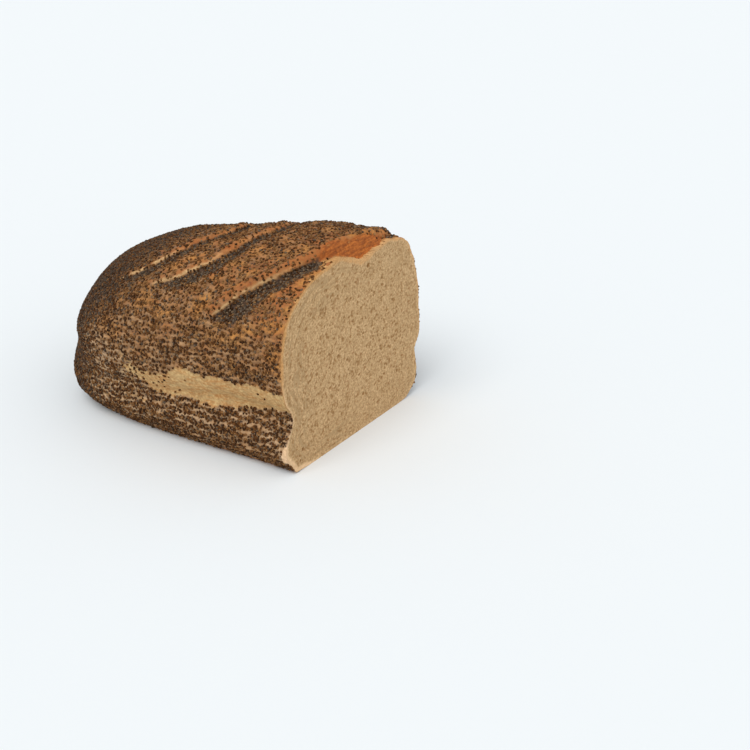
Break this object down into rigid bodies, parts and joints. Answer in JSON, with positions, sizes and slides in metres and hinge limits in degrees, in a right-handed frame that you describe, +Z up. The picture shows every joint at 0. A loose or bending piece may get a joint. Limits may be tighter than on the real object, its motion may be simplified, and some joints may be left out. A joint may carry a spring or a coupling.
{
  "type": "poppy seed brown loaf",
  "caption": "Half of a tin-baked brown loaf with a poppy seed crust, slashes over its crown, splits along its sides and a flat cut face.",
  "frame": {"origin": "on the ground plane under the middle of the loaf's box", "axes": "+X along the loaf, out of the cut face; +Y to the side away from the deep side split; +Z up"},
  "size_m": [0.1572, 0.1281, 0.1028],
  "materials": {
    "seeded_crust": "matt baked crust, orange-brown on top and tan below, covered in dark poppy seeds; beige open crumb on the cut"
  },
  "bodies": {
    "root": {"loaf": "seeded_crust"}
  },
  "joints": []
}
